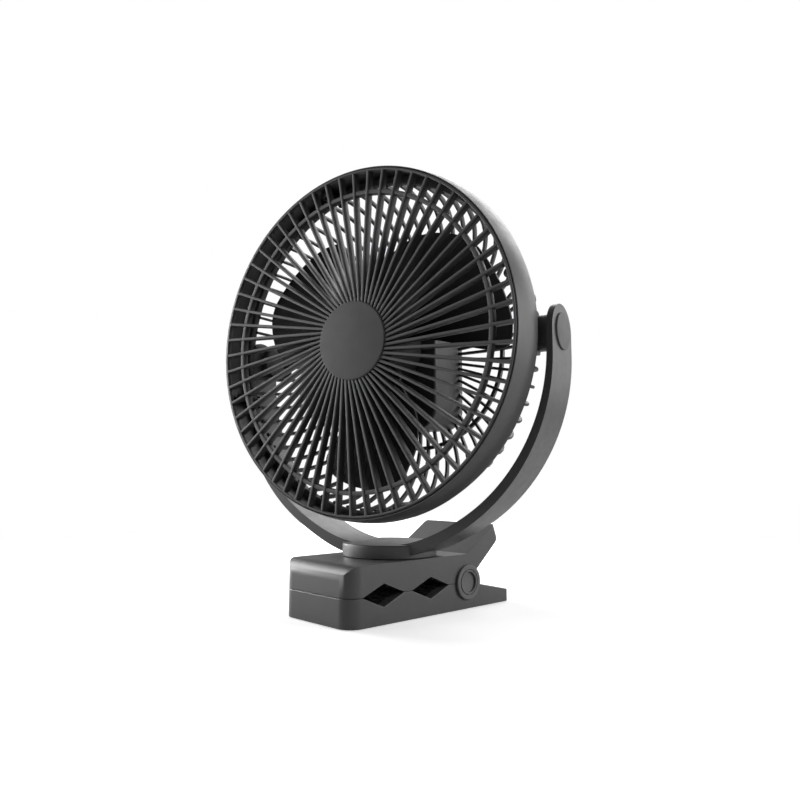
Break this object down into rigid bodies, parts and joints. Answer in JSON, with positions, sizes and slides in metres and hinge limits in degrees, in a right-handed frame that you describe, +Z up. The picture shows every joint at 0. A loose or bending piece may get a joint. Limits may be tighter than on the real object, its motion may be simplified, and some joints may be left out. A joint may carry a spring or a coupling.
{
  "type": "clip fan",
  "caption": "Battery fan head with a swirled front grille that tilts in a U-shaped yoke and swivels on a sprung clip that also stands on a table.",
  "frame": {"origin": "foot of the upright swivel axis on the plane that the clip stands on", "axes": "+Z up along the swivel axis, -Y out of the clip's mouth, +Y towards the handle, +X the clip's right"},
  "size_m": [0.2232, 0.1395, 0.2633],
  "materials": {
    "casing": "fine moulded texture, charcoal",
    "grille": "satin moulded, charcoal",
    "cap_face": "smooth satin, charcoal",
    "soft_rubber": "matte black",
    "steel": "turned",
    "spring_steel": "drawn wire",
    "slip_ring": "smooth black",
    "black_screw": "black oxide",
    "cell_wrap": "plain sleeve",
    "inner_plastic": "matte black",
    "circuit_board": "solder mask",
    "port_shell": "bright",
    "lens": "clear diffuse",
    "button_face": "satin",
    "stator_steel": "laminated",
    "copper_wire": "enamelled winding",
    "blade_plastic": "satin, dark",
    "rotor_steel": "pressed",
    "magnet": "grey coat"
  },
  "bodies": {
    "clip_base": {"lower_jaw": "casing", "base_pad": "soft_rubber", "lower_grip_pad": "soft_rubber", "hinge_pin": "steel", "hinge_caps": "cap_face", "clip_spring": "spring_steel"},
    "clip_lever": {"upper_jaw": "casing", "upper_grip_pad": "soft_rubber", "swivel_ring": "slip_ring"},
    "yoke": {"yoke": "casing", "swivel_screw": "steel", "swivel_washer": "steel", "pivot_washers": "slip_ring", "pivot_caps": "cap_face"},
    "head": {"pivot_screws": "steel", "front_grille": "grille", "front_cap": "cap_face", "shroud": "casing", "rear_grille": "grille", "rim_screws": "black_screw", "rear_cover": "casing", "cover_screws": "black_screw", "battery_cells": "cell_wrap", "cell_holder": "inner_plastic", "control_board": "circuit_board", "charging_port": "port_shell", "button_switch": "inner_plastic", "indicator_lens": "lens", "motor_mount": "inner_plastic", "motor_screws": "steel", "stator_core": "stator_steel", "motor_coils": "copper_wire", "motor_bearings": "steel"},
    "button": {"power_button": "button_face"},
    "fan": {"impeller": "blade_plastic", "rotor_cup": "rotor_steel", "rotor_magnets": "magnet", "motor_shaft": "steel", "hub_nut": "inner_plastic"}
  },
  "joints": [
    {"name": "clip_hinge", "type": "hinge", "parent": "clip_base", "child": "clip_lever", "pos_m": [0, 0.0365, 0.0163], "axis": [-1, 0, 0], "range_deg": [0, 38], "stiffness_Nm_per_rad": 1.5, "springref_deg": -57.3, "deforming": ["clip_spring"]},
    {"name": "yoke_swivel", "type": "hinge", "parent": "clip_lever", "child": "yoke", "pos_m": [0, 0, 0.0373], "axis": [0, 0, 1], "continuous": true},
    {"name": "head_tilt", "type": "hinge", "parent": "yoke", "child": "head", "pos_m": [0, 0, 0.1581], "axis": [0.9699, 0.2436, 0], "continuous": true},
    {"name": "fan_spin", "type": "hinge", "parent": "head", "child": "fan", "pos_m": [0, 0, 0.1581], "axis": [0.2436, -0.9699, 0], "continuous": true},
    {"name": "button_press", "type": "slide", "parent": "head", "child": "button", "axis": [0.2436, -0.9699, 0], "range_m": [0, 0.0008], "stiffness_N_per_m": 1500, "springref_m": -0.0005}
  ]
}
